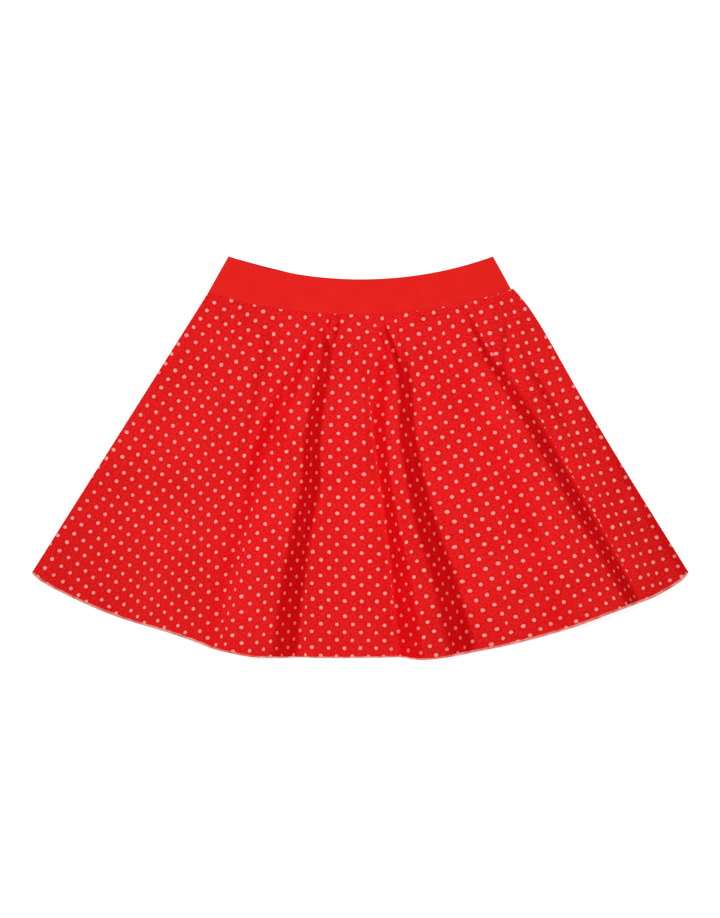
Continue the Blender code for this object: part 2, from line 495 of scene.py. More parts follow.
bandFinish = {
    "red": (0.735, 0.0134, 0.0096, 1),
    "shadedRed": (0.685, 0.0108, 0.0080, 1),
    "shade": (0.32, 0.72),
    "inside": (0.62, 0.55, 0.60, 1),  # painted shade: what the back half's inner side keeps of it, darker so that its strip peeking above the front half reads as a shadowed gap
    "patchScale": 0.045,
    "grainScale": 1.1,
    "ribPitchMm": 1.4,
    "elasticPitchMm": 5.2,
    "ribDepth": 0.0003,
}


def plainBand(name, kept):
    look = bandFinish
    finish = Finish(name, 0.8, 0.08)
    place, u, v = clothPlaceOf(finish)  # mm along the band and across it
    patches = finish.noise(place, look["patchScale"])
    grain = finish.noise(place, look["grainScale"], 3.0, 0.6)
    shade = finish.stretch(patches * 0.7 + grain * 0.35, *look["shade"])
    cloth = finish.mix(shade, look["shadedRed"], look["red"])
    # kept tints the colour; for the back half's inner side it is painted shade
    finish.feed("Base Color", finish.mix(1.0, cloth, kept, "MULTIPLY"))
    ribs = finish.math("SINE", u * (2 * math.pi / look["ribPitchMm"]))
    elastic = finish.math("SINE", v * (2 * math.pi / look["elasticPitchMm"]))
    relief = ribs * 0.3 + elastic * 0.25 + grain
    finish.feed("Normal", finish.bump(relief, 0.25, look["ribDepth"]))
    return finish.material


threadLooks = {  # scales are to a metre
    "pale hem thread": {"light": (0.93, 0.47, 0.40, 1), "dark": (0.82, 0.20, 0.16, 1), "scale": 95},
    "red sewing thread": {"light": (0.88, 0.22, 0.18, 1), "dark": (0.72, 0.03, 0.03, 1), "scale": 90},
}
fibreScale = 2600


def threadFinish(name):
    look = threadLooks[name]
    finish = Finish(name, 0.6, 0.15)
    place = finish.node("ShaderNodeTexCoord", {}, {}, out=3)
    patches = finish.stretch(finish.noise(place, look["scale"]), 0.36, 0.60)
    finish.feed("Base Color", finish.mix(patches, look["dark"], look["light"]))
    finish.feed("Normal", finish.bump(finish.noise(place, fibreScale, 1.0), 0.3, 0.0001))
    return finish.material


dottedJersey = printedJersey("dotted jersey", 1.0)
jerseyReverse = printedJersey("dotted jersey, wrong side", jerseyFinish["reverseShows"])
waistbandCloth = plainBand("plain waistband", (1, 1, 1, 1))
# The back half's inner side is a darker copy of the band's colour: painted shade.
waistbandInsidePaintedShade = plainBand("plain waistband, inner side in painted shade", bandFinish["inside"])
paleThread = threadFinish("pale hem thread")
redThread = threadFinish("red sewing thread")
print("finishes: made")


# cells counts grid cells since the line before, waist and hem are its angles at the two ends, and
# settle says how early it reaches its hem angle. From start on down it stands up, to lift at the
# hem, where it ends lower than the plain hem line by drop, both in mm. The print is turned by
# waistTurn at the waist seam, by turn lower down and by hemTurn at the hem. A line wavers as its
# sway says, and at a tuck the print jumps at once to the next line's turn.
Line = namedtuple(
    "Line",
    "name cells waist hem settle start lift drop waistTurn turn hemTurn sway tuck",
    defaults=["", False],
)
frontLines = [Line(*row) for row in (
    ("left side", 0, -32.2, -32.2, 1, 0, 0, -2, 6.5, 7.5, 4.5),
    ("left side roll", 3, -31.1, -31.2, 1, 0, 1.6, 1, 6.5, 7.5, 4.5),
    ("left side hollow", 3, -28.9, -29.3, 1, 0.02, 1.2, 2.4, 6.5, 7.5, 4.5),
    ("left crown", 6, -22.6, -24, 1, 0.05, 5.6, 3.4, 6, 6.5, 4),
    ("left hollow", 6, -17, -18.8, 2, 0.05, 4.2, 2.2, 5.5, 4.5, 1),
    ("left flute, outer foot", 3, -12, -16, 4, 0.28, 9.4, 4, 5, 4, -1),
    ("left flute, outer shoulder", 5, -10, -13.3, 4, 0.12, 22.8, 8, 4, 3.5, -1),
    ("left flute, ridge", 4, -7.6, -10.4, 6, 0.02, 31.2, 8.7, 2.5, 2.5, -0.5, "left"),
    ("left flute, inner brow", 3, -6.3, -8.8, 7, 0, 30.2, 7, 1, 1.5, -0.3, "left"),
    ("left flute, inner flank", 4, -4.5, -7.2, 7, 0, 16.2, 4.6, -1, 0.5, 0, "left"),
    ("left flute, inner foot", 4, -2.7, -5.6, 7, 0, 2, 2.5, -2.5, -0.3, 0, "left"),
    ("middle hollow", 3, -1, -3.7, 4, 0, 2.8, 1.6, -3.2, -0.5, 0),
    ("middle crown", 6, 0, 0.6, 1, 0.08, 7.8, 0, -4, -0.8, -0.3),
    ("middle flute, outer foot", 4, 0.9, 3.8, 1, 0.14, 5.6, 0.6, -4.6, -1.2, -1.2, "crease", True),
    ("middle flute, brow", 4, 2, 5, 1, 0.16, 19.5, 3.6, -5.5, -13.5, -14, "crease brow"),
    ("middle flute, ridge", 5, 3.1, 6.3, 1.4, 0.06, 32.4, 5.5, -6.8, -13.8, -14, "middle"),
    ("middle flute, inner brow", 4, 4.15, 7.85, 1.4, 0, 30.9, 5.4, -8.2, -14, -14, "middle"),
    ("middle flute, inner flank", 5, 5.6, 9.6, 1.4, 0, 16, 4.6, -10, -14.2, -14, "middle"),
    ("middle flute, inner foot", 4, 7.15, 11.2, 1.4, 0, 2, 4, -12, -14, -13.4, "middle"),
    ("right hollow", 3, 9.2, 13.2, 1.4, 0, 3.5, 3.8, -13.5, -13.2, -13),
    ("right slope", 5, 14, 17.6, 2, 0.03, 11.5, 3.1, -14, -12.2, -12.6),
    ("right flute, shoulder", 5, 18, 21.4, 2.6, 0.02, 27.2, 2.6, -14.5, -11.8, -11.5, "right"),
    ("right flute, ridge", 4, 19.5, 23.75, 2.6, 0, 31.8, 1.9, -15, -11.8, -12, "right"),
    ("right flute, brow", 3, 21.1, 25.4, 2.6, 0, 30.6, 2.1, -16, -12.6, -12.6, "brow"),
    ("right flute, foot", 6, 22.6, 26.95, 2.6, 0, 8.6, 3.4, -16.5, -15.5, -15, "foot", True),
    ("right side hollow", 3, 24.9, 28.1, 2.6, 0.06, 9.2, 4, -23, -27, -26.5),
    ("right crown", 3, 28.2, 29.6, 1, 0.32, 9.2, 3.1, -26, -28, -27),
    ("right side roll", 3, 31, 31.1, 1, 0.32, 6.4, 1, -27, -28, -27),
    ("right side", 2, 32.1, 32.1, 1, 0, 0, -3.5, -27, -28, -27),
)]

# How the folds waver off their lines: pairs of down and degrees.
sways = {
    "": ((0, 0), (1, 0)),
    "left": ((0, 0), (0.24, -0.15), (0.38, 0), (0.5, 0.55), (0.61, 0.18), (0.86, -0.1), (1, 0)),
    "crease": (
        (0, 0), (0.16, -0.25), (0.25, -0.2), (0.45, 0), (0.56, 0.2), (0.7, 0.15), (0.85, 0),
        (1, -0.3),
    ),
    "crease brow": (
        (0, 0), (0.16, -0.2), (0.28, -0.25), (0.45, -0.15), (0.63, 0.05), (0.85, 0.1), (1, -0.1),
    ),
    "middle": (
        (0, 0), (0.06, 0.3), (0.12, 0.95), (0.19, 0.9), (0.27, 0.25), (0.35, -0.45), (0.46, -0.75),
        (0.57, -0.75), (0.66, -0.55), (0.76, -0.15), (1, 0),
    ),
    "right": (
        (0, -0.2), (0.03, -0.4), (0.08, -0.8), (0.13, -1.2), (0.18, -1.4), (0.23, -1),
        (0.29, -0.75), (0.4, -0.65), (0.6, -0.6), (0.8, -0.4), (1, -0.15),
    ),
    "brow": (
        (0, -0.2), (0.03, -0.45), (0.08, -1), (0.13, -1.45), (0.18, -1.75), (0.23, -1.5),
        (0.29, -1.35), (0.4, -1.1), (0.54, -1), (0.68, -0.85), (0.82, -0.55), (1, -0.2),
    ),
    "foot": (
        (0, -0.2), (0.03, -0.4), (0.08, -0.8), (0.13, -1.15), (0.18, -1.1), (0.23, -0.65),
        (0.29, -0.1), (0.4, -0.05), (0.54, -0.15), (0.68, -0.1), (0.82, 0), (1, 0),
    ),
}

panelShape = {
    "fineness": 3,  # grid columns for each cell of the lines
    "rows": 132,
    "wall": 0.0010,
    "base": 0.0015,  # the front lies on the back, which is this thick with its gap
    "edgeRounds": (0.0010, 0.0010, None, 0.0010),  # left, right, seam, hem
    "leastWall": 0.00012,
    "seamGap": 0.0001,
    "seamRise": 0.0018,  # the front climbs to the middle of the waistband's wall
    "seamReach": 0.0100,
    "hemRise": 0.00058,  # room for the thread round the hem
    "hemReach": 0.0050,
    "sideFall": 0.00042,  # the front comes down to the back at the side seams
    "sideReach": 0.0040,
    "creaseReach": 0.010,  # creases fade out this near the side seams
    "gathers": 2.4,  # how strong the waist gathers are
    "liftEase": 2.6,  # how early the flutes gain their height
    "loft": 0.0034,  # how far the front stands off the back in its upper half
    "loftReach": 0.036,
    "loftFades": (0.35, 0.95),
    "hemCurl": 0.10,  # the share of its height that a fold loses as it curls in at the hem
    "hemCurlReach": 0.012,
    "softness": 0.0004,  # how gently a hollow meets the back
    "turnBy": (0.04, 0.30),  # where the print goes from waistTurn to turn
    "hemTurnBy": (0.45, 0.95),
    "warp": 0.45,
    "seamWarp": 0.75,  # how much more the print wanders near the waist seam
    "seamWarpBy": (0.05, 0.45),
}

frontCreases = [Crease(*row) for row in (
    # left of the left flute
    (
        -4.2, 11,
        [(-94, 164), (-99, 125), (-108, 90), (-117, 50), (-128, 14), (-140, -24), (-148, -50)], 0.1, 0.35,
    ),
    (1.6, 11, [(-110, 158), (-115, 125), (-127, 90), (-136, 50), (-146, 16)], 0.15, 0.5),
    (-3.8, 6.5, [(-143, 178), (-146, 160), (-151, 140), (-157, 116)], 0.08, 0.6),
    (1.8, 6.5, [(-128, 168), (-134, 146), (-142, 124), (-150, 100)], 0.2, 0.6),
    (-2, 5.5, [(-122, 156), (-134, 130), (-150, 110), (-164, 92)], 0.3, 0.5),
    (-3, 10, [(-224, 84), (-240, 56), (-256, 32), (-270, 6)], 0.35, 0.4),
    (1.6, 11, [(-204, 62), (-228, 14), (-252, -34)], 0.35, 0.4),
    (-1.8, 9, [(-176, -40), (-168, -66), (-182, -96)]),
    (-3, 13, [(-322, -112), (-302, -124), (-262, -132)], 0.35, 0.35),
    (-2.2, 11, [(-262, -118), (-252, -148), (-258, -178)], 0.4, 0.3),
    (0.9, 14, [(-168, -76), (-176, -118), (-188, -156)]),
    (0.9, 13, [(-226, -96), (-224, -130), (-230, -166)]),
    (-1.6, 7, [(-126, -26), (-134, -60), (-136, -92)], 0.35, 0.4),
    (1.6, 7, [(-76, 52), (-80, 22), (-86, -10), (-94, -40)]),
    (-2, 13, [(-196, 128), (-262, 14), (-322, -92)], 0.35, 0.35),
    (-2.2, 9, [(-176, 186), (-182, 166), (-190, 146)], 0.1, 0.5),
    # the left flute's right flank forks below the seam
    (-3.4, 5, [(-41, 166), (-39, 148), (-36, 130), (-36, 112)], 0.15, 0.35),
    (-3.6, 5, [(-13, 164), (-21, 146), (-30, 128), (-36, 110)], 0.1, 0.35),
    (1.8, 5, [(-27, 166), (-29, 152), (-33, 138)], 0.25, 0.4),
    (-1.8, 4.5, [(-75, 166), (-74, 136), (-77, 98)], 0.2, 0.45),
    # between the left and middle flutes
    (1.3, 11, [(4, 140), (0, 96), (-8, 46)]),
    (-1.2, 9, [(-26, 74), (-30, 34), (-38, -12)]),
    (1.1, 10, [(-46, -40), (-52, -92), (-55, -142)]),
    (-1.1, 9, [(-12, -60), (-10, -108), (-14, -156)]),
    (1.5, 9, [(26, 128), (32, 96), (35, 62)]),
    # either side of the middle flute
    (-1.9, 8, [(12, 74), (18, 12), (26, -50), (34, -124), (41, -226)], 0.3, 0.05),
    (-3, 4.5, [(27, 166), (33, 146), (42, 122), (50, 100)], 0.1, 0.4),
    # right of the middle flute
    (1.4, 10, [(82, 130), (92, 84), (100, 30)]),
    (-1.6, 8.5, [(104, 118), (112, 66), (122, 6)]),
    (-1.9, 12, [(178, -70), (196, -94), (206, -122)]),
    (-1.8, 10, [(206, -170), (214, -190), (212, -205)], 0.4, 0.3),
    (1.5, 11, [(136, -92), (148, -130), (156, -176)]),
    (-1.6, 9, [(150, -24), (160, -74), (168, -124)]),
    (1.2, 9, [(166, 30), (190, -12), (210, -52)]),
    # the small pleat that runs into the right flute
    (-4, 6.5, [(179, 190), (175, 164), (171, 138), (169, 112), (170, 92)], 0.06, 0.15),
    (1.8, 7, [(150, 176), (151, 154), (153, 134)], 0.2, 0.4),
    (1.5, 7, [(184, 164), (182, 138), (180, 108)], 0.25, 0.35),
    (-2, 8, [(178, 192), (190, 176), (202, 154)], 0.3, 0.4),
    (-0.7, 7.5, [(188, 128), (208, 88), (232, 40)], 0.3, 0.4),
    # the far right, beyond the right flute
    (0.8, 9, [(236, 62), (262, 14), (290, -38)]),
    (5, 26, [(250, -16), (274, -62), (299, -112), (322, -172)], 0.8, 0),
    (-0.7, 9, [(258, 50), (286, 0), (312, -52)]),
)]

# Where narrow folds squeeze the dots: depth and reach in mm, and points in plan.
frontPinches = [
    (6.5, 3.6, [(-108, 20), (-112, -10), (-119, -40), (-134, -110), (-150, -180), (-160, -232)]),
    (4, 3, [(-125, -40), (-137, -90), (-150, -140), (-166, -232)]),
    (5.5, 3.2, [(62, -10), (68, -43), (78, -89), (89, -120), (100, -187), (108, -235)]),
    (5, 3, [(84, -50), (93, -83), (104, -141), (122, -235)]),
    (4, 3, [(-46, 130), (-52, 80), (-58, 20), (-63, -30)]),
    (4.5, 3.2, [(118, 178), (131, 150), (150, 112), (168, 84)]),
]

# Short gathers under the waist seam: angle, height and width in mm, and length in mm.
waistGathers = [
    (-30.2, 0.5, 3.6, 22), (-27.6, -0.5, 3.2, 26), (-25.3, 0.4, 3.8, 18), (-22.4, -0.7, 3.4, 34),
    (-20.6, 0.6, 3, 24), (-18.1, -0.5, 3.2, 30), (-16, 0.7, 3, 26), (-14.3, -0.9, 2.8, 44),
    (-12.6, 0.6, 2.8, 30), (-11.2, -0.8, 2.6, 38), (-9.5, 0.7, 2.8, 26), (-7.9, -0.8, 2.8, 32),
    (-6.1, 0.5, 3, 22), (-4.3, -0.6, 2.8, 30), (-2.2, 0.5, 3.4, 24), (0.2, -0.4, 3.2, 20),
    (2.3, 0.4, 3, 22), (4.1, -0.7, 2.8, 30), (6.3, 0.5, 3, 20), (8.8, -0.4, 3.4, 26),
    (11.2, 0.4, 3.6, 18), (13.6, -0.5, 3.2, 24), (15.9, 0.4, 3.4, 22), (18.2, -0.6, 3, 26),
    (20.9, 0.5, 3, 20), (23.2, 0.5, 3, 24), (25.4, -0.6, 3, 26), (27.9, 0.5, 3.4, 22),
    (30.3, -0.5, 3.2, 24),
]


def gatherCreases(gathers, scale):
    above, fadeOut = 0.004, 0.8  # a gather starts out of sight, above the seam
    made = []
    for angle, height, width, length in gathers:
        seam = radiusOf("seam", angle)
        ends = [inPlan(angle, radius) * 1000 for radius in (seam - above, seam + length / 1000)]
        made.append(Crease(height * scale, width, ends, 0, fadeOut))
    return made


def edgeDense(low, high, count):
    # an even run of values with more of them close to both ends
    even = np.linspace(low, high, count + 1)
    shares = np.array([0.07, 0.20, 0.42])
    added = shares * (even[1] - even[0])
    return np.unique(np.concatenate([even, low + added, high - added]))


downs = edgeDense(0.0, 1.0, panelShape["rows"])
rowDowns = downs[:, None]


def frontGrid():
    stations = np.cumsum([line.cells for line in frontLines]).astype(float)
    columns = edgeDense(0.0, stations[-1], int(stations[-1]) * panelShape["fineness"])

    def spread(values):
        return smoothThrough(stations, np.array(values), columns)

    angles, lifts, drops, turns = [], [], [], ([], [])
    for down in downs:
        swayed = {
            name: smoothThrough(*np.array(sway, float).T, np.array([down]))[0]
            for name, sway in sways.items()
        }
        angles.append(spread([
            line.hem + (line.waist - line.hem) * (1 - down) ** line.settle + swayed[line.sway]
            for line in frontLines
        ]))
        toRise = [min(1.0, (1 - down) / (1 - line.start)) for line in frontLines]
        lifts.append(spread([
            line.lift / 1000 * (1 - rest ** panelShape["liftEase"])
            for line, rest in zip(frontLines, toRise)
        ]))
        drops.append(spread([line.drop / 1000 * down**3 for line in frontLines]))
        early, late = (eased(down, *panelShape[key]) for key in ("turnBy", "hemTurnBy"))
        turn = [
            line.waistTurn + (line.turn - line.waistTurn) * early + (line.hemTurn - line.turn) * late
            for line in frontLines
        ]
        left = np.interp(columns, stations, turn)
        right = left.copy()
        for number, line in enumerate(frontLines):
            if line.tuck:  # beyond it the print runs on at the next line's turn
                start, end = stations[number], stations[number + 1]
                left[(columns > start) & (columns < end)] = turn[number + 1]
                right[(columns >= start) & (columns < end)] = turn[number + 1]
        turns[0].append(left)
        turns[1].append(right)
    tucks = [line.name for line in frontLines if line.tuck]
    print(f"front grid: {len(downs)} rows of {len(columns)}, tucks at {tucks}")
    return [np.array(rows) for rows in (angles, lifts, drops, turns)]


def panelPlan(angles, drops, below=0.0):
    placed = swollen(angles, rowDowns)
    start, end = radiusOf("seam", placed) + panelShape["seamGap"] + below, radiusOf("hem", placed)
    return inPlan(placed, start + rowDowns * (end - start) + drops)


def hemRiseOf(toHem):
    return panelShape["hemRise"] * near(toHem, panelShape["hemReach"])


frontAngles, frontLifts, frontDrops, frontTurns = frontGrid()
frontPlan = panelPlan(frontAngles, frontDrops)
gathers = gatherCreases(waistGathers, panelShape["gathers"])
frontRelief = reliefOf(frontPlan, frontCreases + gathers)
toLeft, toRight, toSeam, toHem = edgeDistances(frontPlan)
toSide = np.minimum(toLeft, toRight)
inside = 1 - near(toSide, panelShape["creaseReach"])
standing = 1 - near(np.minimum(toSide, toSeam), panelShape["loftReach"])
loft = panelShape["loft"] * standing * (1 - eased(rowDowns, *panelShape["loftFades"]))
curl = 1 - panelShape["hemCurl"] * near(toHem, panelShape["hemCurlReach"])
raised = (frontLifts + loft + frontRelief * inside) * curl
soft = panelShape["softness"]
frontHeight = (raised + np.hypot(raised, soft)) / 2 - soft / 2 * (1 - inside)
hemRise = hemRiseOf(toHem)
seamRise = panelShape["seamRise"] * near(toSeam, panelShape["seamReach"])
sideFall = panelShape["sideFall"] * near(toSide, panelShape["sideReach"])
frontUnder = np.dstack([
    frontPlan, panelShape["base"] + frontHeight + hemRise + seamRise - sideFall
])
frontNormal = normalsOf(frontUnder)
frontWall = roundedWall(edgeDistances(frontUnder), panelShape)
frontOver = frontUnder + frontNormal * frontWall[..., None]

frontPrint = matchPrint(frontPlan, printPlaces(frontPlan, frontTurns))
flanks = printWander(frontPlan, frontLifts, frontTurns[0], dotPrint["flankReach"])
nearSeam = 1 - eased(rowDowns, *panelShape["seamWarpBy"])
frontPrint += printWander(frontPlan, loft + frontRelief, frontTurns[0], dotPrint["creaseReach"])
frontPrint += flanks * dotPrint["flankShare"]
frontPrint += printPinch(frontPlan, frontTurns[0], frontPinches)
frontPrint += printWarp(frontPlan, panelShape["warp"] + panelShape["seamWarp"] * nearSeam)
frontPanel = shell(
    "frontPanel", frontUnder, frontOver, frontPrint, dottedJersey, jerseyReverse
)


# The back lies flat and its spare cloth stands in low ridges under the front's flutes. Each ridge
# has an angle at the waist and at the hem, a height and a width in mm, where it starts, and by how
# much the print turns across it.
BackRidge = namedtuple("BackRidge", "waist hem height width start turn")
backRidges = [BackRidge(*row) for row in (
    (-22, -24, 2.6, 5, 0.2, 2),
    (-7.2, -10.6, 6.5, 3.6, 0.05, 7),
    (0.4, 1.6, 3, 4.2, 0.3, 2.5),
    (4, 7, 6, 3.4, 0.08, 8),
    (13, 17, 4.2, 4.6, 0.12, 3.5),
    (19.5, 23.6, 7, 3.8, 0.04, 9),
)]

backShape = {
    "columns": 210,
    "clearance": 0.0009,  # kept between a ridge and the front above it
    "seamBelow": 0.0008,  # how far below the front's waist seam the back's lies, hidden by it
    "hemPeek": 0.0012,  # how much lower the back hangs at right, where its hem shows
    "peekFrom": (12, 18),  # the angles over which that comes and goes
    "peekTo": (28, 31.5),
    "hemRiseShare": 0.62,  # of the front's hemRise
    "ridgeSettle": 1.5,  # how early a ridge reaches its hem angle
    "ridgeTaper": 0.45,  # the share of its width that a ridge has at the waist
    "ridgeFull": 1.1,  # where it would have its whole height, and how early it gains it
    "ridgeEase": 0.7,
    "cornerPower": 16,  # how near to the corners the hem's drop there stays
    "gathers": 0.6,
    "smoothings": 6,
    "firstTurn": -16.0,
    "warp": 0.7,
    "warpShift": 0.3,  # the print wanders otherwise than the front's
}

backCreases = [Crease(*row) for row in (
    (0.9, 7, [(-262, -20), (-276, -60), (-300, -96)], 0.35, 0.4),
    (1.2, 6, [(-190, 92), (-214, 40), (-228, -16)], 0.3, 0.4),
    (0.7, 6, [(-132, 150), (-150, 104), (-160, 66)], 0.3, 0.45),
    (1.1, 8, [(-150, -60), (-172, -120), (-186, -170)], 0.4, 0.35),
    (0.8, 6.5, [(-22, 110), (-30, 52), (-26, -8)]),
    (1, 7.5, [(-34, -84), (-28, -140), (-36, -196)], 0.4, 0.35),
    (0.8, 5.5, [(74, 140), (92, 92), (100, 50)], 0.35, 0.45),
    (1.2, 7, [(150, 10), (176, -44), (186, -102)], 0.35, 0.4),
    (0.9, 6.5, [(206, -96), (214, -142), (236, -180)]),
    (0.7, 6, [(196, 128), (222, 80), (246, 26)], 0.3, 0.4),
    (1, 8, [(282, -30), (306, -74), (334, -112)], 0.4, 0.3),
)]

backAngles = np.tile(
    edgeDense(skirtPlan["leftSide"], skirtPlan["rightSide"], backShape["columns"]), (len(downs), 1)
)
sideDrop = np.where(backAngles < 0, frontLines[0].drop, frontLines[-1].drop) / 1000
sideDrop = sideDrop * (backAngles / skirtPlan["sideReach"]) ** backShape["cornerPower"]
peeking = eased(backAngles, *backShape["peekFrom"]) * (1 - eased(backAngles, *backShape["peekTo"]))
peekDrop = backShape["hemPeek"] * peeking
backPlan = panelPlan(backAngles, (sideDrop + peekDrop) * rowDowns**3, backShape["seamBelow"])

ceiling = frontHeight + hemRise.min(axis=1, keepdims=True) - backShape["clearance"]
room = np.array([np.interp(*rows) for rows in zip(backAngles, frontAngles, ceiling)])
room = np.clip(room, 0.0, None)
gathers = gatherCreases(waistGathers[::2], backShape["gathers"])
backLift = reliefOf(backPlan, backCreases + gathers)
backTurn = np.full(backAngles.shape, backShape["firstTurn"])
taper = backShape["ridgeTaper"] + (1 - backShape["ridgeTaper"]) * rowDowns
for ridge in backRidges:
    middle = ridge.hem + (ridge.waist - ridge.hem) * (1 - rowDowns) ** backShape["ridgeSettle"]
    away = np.radians(backAngles - middle) * radiusOf("hem", middle) * taper * 1000
    grown = eased(rowDowns, ridge.start, backShape["ridgeFull"]) ** backShape["ridgeEase"]
    backLift += ridge.height / 1000 * grown * near(away, ridge.width)
    backTurn += ridge.turn * eased(away, -ridge.width, ridge.width)
backLift = np.clip(backLift, 0.0, room)
for _ in range(backShape["smoothings"]):  # softens corners where the front holds the cloth down
    backLift[:, 1:-1] = (backLift[:, :-2] + 2 * backLift[:, 1:-1] + backLift[:, 2:]) / 4
    backLift[1:-1] = (backLift[:-2] + 2 * backLift[1:-1] + backLift[2:]) / 4
backLift = np.minimum(backLift, room)
backHem = backShape["hemRiseShare"] * hemRiseOf(edgeDistances(backPlan)[3])
backTop = np.dstack([backPlan, panelShape["wall"] + backLift + backHem])
backNormal = normalsOf(backTop)
backWall = roundedWall(edgeDistances(backTop), panelShape)
backOut = backTop - backNormal * backWall[..., None]
backOut[..., 2] = np.maximum(backOut[..., 2], 0.0)
backPrint = printPlaces(backPlan, (backTurn, backTurn))
backPrint += printWarp(backPlan + backShape["warpShift"], backShape["warp"])
backPanel = shell("backPanel", backOut, backTop, backPrint, jerseyReverse, dottedJersey)


bandShape = {
    "columns": 230,
    "rows": 22,
    "wall": 0.0020,
    "crown": 0.0007,
    "crownPower": 8,  # how near to the band's ends it lasts
    "base": 0.0023,
    "edgeRounds": (0.0011, 0.0011, 0.0011, None),  # left, right, top, seam
    "leastWall": 0.0002,
    "endFall": 0.00026,  # the front half comes down to the back half at the two ends
    "endReach": 0.004,
    "peek": 0.0010,  # how far the back half shows above the front's, at left
    "peekAt": -24.3,
    "peekWidth": 6.0,
    "middleRadiusMm": 285,
    "puckerFade": (0.2, 0.25),  # how gradually a pucker comes and goes
    "weave": (290.0, 40.0),  # mm along the band to a radian, and across it
}

# Soft puckers of the front half: angle, height and width in mm, from top (0) to seam (1).
bandPuckers = [
    (-29.5, 0.16, 5, 0.1, 0.9), (-25, -0.14, 6, 0.3, 1), (-20.5, 0.12, 6.5, 0, 0.7),
    (-15.2, -0.16, 5, 0.45, 1), (-11.8, 0.14, 5, 0.35, 1), (-8.3, -0.14, 4.5, 0.5, 1),
    (-4, 0.12, 5.5, 0.3, 1), (1.5, -0.12, 6, 0, 0.6), (4.4, -0.16, 4.5, 0.5, 1),
    (9, 0.12, 6.5, 0.2, 0.9), (14.5, -0.12, 6, 0.4, 1), (19, 0.14, 5, 0.45, 1),
    (22.8, -0.16, 5, 0.3, 1), (27.2, 0.14, 6, 0.1, 0.8), (30.6, -0.12, 4.5, 0.2, 1),
]


def bandHalf(name, base, crown, puckers, peek, facesUp):
    downs = edgeDense(0.0, 1.0, bandShape["rows"])[:, None]
    across = edgeDense(0.0, 1.0, bandShape["columns"])[None]
    spread = skirtPlan["bandSpread"] * (1 - downs)
    left, right = skirtPlan["leftSide"] - spread, skirtPlan["rightSide"] + spread
    angle = left + across * (right - left)
    aside = (angle - bandShape["peekAt"]) / bandShape["peekWidth"]
    top = radiusOf("top", angle) - peek * np.exp(-(aside**4))
    below = 0.0 if facesUp else backShape["seamBelow"]
    plan = inPlan(angle, top + downs * (radiusOf("seam", angle) + below - top))
    ends = (2 * across - 1) ** bandShape["crownPower"]
    level = crown * np.sin(math.pi * downs) * (1 - ends)
    comes, goes = bandShape["puckerFade"]
    for at, height, width, first, last in puckers:
        away = np.radians(angle - at) * bandShape["middleRadiusMm"]
        reach = eased(downs, first - comes, first + comes) * (1 - eased(downs, last, last + goes))
        level = level + height / 1000 * reach * near(away, width)
    under = np.dstack([plan, np.full(plan.shape[:2], base)])
    distances = edgeDistances(under)
    wall = roundedWall(distances, bandShape)
    along, over = bandShape["weave"]
    place = np.dstack([np.radians(angle) * along, np.broadcast_to(downs * over, angle.shape)])
    places = np.stack([place, place])
    outer = under.copy()
    if facesUp:
        nearEnds = near(np.minimum(*distances[:2]), bandShape["endReach"])
        under[..., 2] -= bandShape["endFall"] * nearEnds
        outer[..., 2] = under[..., 2] + wall + level * (wall / bandShape["wall"]) ** 2
        return shell(name, under, outer, places, waistbandCloth, waistbandCloth)
    under[..., 2] += bandShape["wall"]
    outer[..., 2] = under[..., 2] - wall
    return shell(name, outer, under, places, waistbandInsidePaintedShade, waistbandCloth)


waistbandFront = bandHalf(
    "waistbandFront", bandShape["base"], bandShape["crown"], bandPuckers, 0.0, True
)
waistbandBack = bandHalf("waistbandBack", 0.0, 0.0, [], bandShape["peek"], False)


hemThreadShape = {
    "radius": 0.00034,
    "turn": 0.00084,  # cloth edge between two turns of the thread
    "turnVaries": 0.10,
    "width": 0.0023,  # how far in from the edge the thread bites
    "widthVaries": 0.16,
    "waves": ((0.5, 71.0, 1.3), (0.3, 163.0, 2.9), (0.35, 389.0, 4.1)),  # size, rate, seed's share
    "middle": 0.45,  # the share of its bite that it loses where the hem hangs in the middle
    "middleFrom": (0.22, 0.40),
    "middleTo": (0.52, 0.70),
    "over": 0.00018,  # how far it stands out beyond the edge
    "half": 0.00070,  # how far it stands off the middle of the wall
    "fromEnds": 0.0015,  # and twice as far from the right end
    "sampling": 0.0004,
    "pointsPerTurn": 9,
    "sides": 4,
}


def readAlong(line, passed, at):
    return np.stack([np.interp(at, passed, line[:, axis]) for axis in range(3)], axis=1)


def hemThread(name, edge, outward, upward, seed):
    # a thread wound round the cloth's edge, with turns of uneven bite and spacing
    shape = hemThreadShape
    passed = summed(stepLengths(edge))
    whole = passed[-1] - 2 * shape["fromEnds"]
    sample = np.linspace(shape["fromEnds"], whole, int(whole / shape["sampling"]))
    wave = sum(size * np.sin(sample * rate + seed * k) for size, rate, k in shape["waves"])
    turn = shape["turn"] * (1 + shape["turnVaries"] * wave)
    phase = summed(np.diff(sample) / turn[1:]) * 2 * math.pi
    even = np.arange(0.0, phase[-1], 2 * math.pi / shape["pointsPerTurn"])
    at = np.interp(even, phase, sample)
    share = at / passed[-1]
    hangs = eased(share, *shape["middleFrom"]) * (1 - eased(share, *shape["middleTo"]))
    uneven = 1 + shape["widthVaries"] * np.interp(even, phase, wave)
    bite = shape["width"] * (1 - shape["middle"] * hangs) * uneven
    middle = (shape["over"] - bite) / 2
    reach = (shape["over"] + bite) / 2
    centre, out, up = (readAlong(values, passed, at) for values in (edge, outward, upward))
    path = (
        centre
        + out * (middle + reach * np.cos(even))[:, None]
        + up * (shape["half"] * np.sin(even))[:, None]
    )
    return threads(name, [path], shape["radius"], shape["sides"], paleThread)


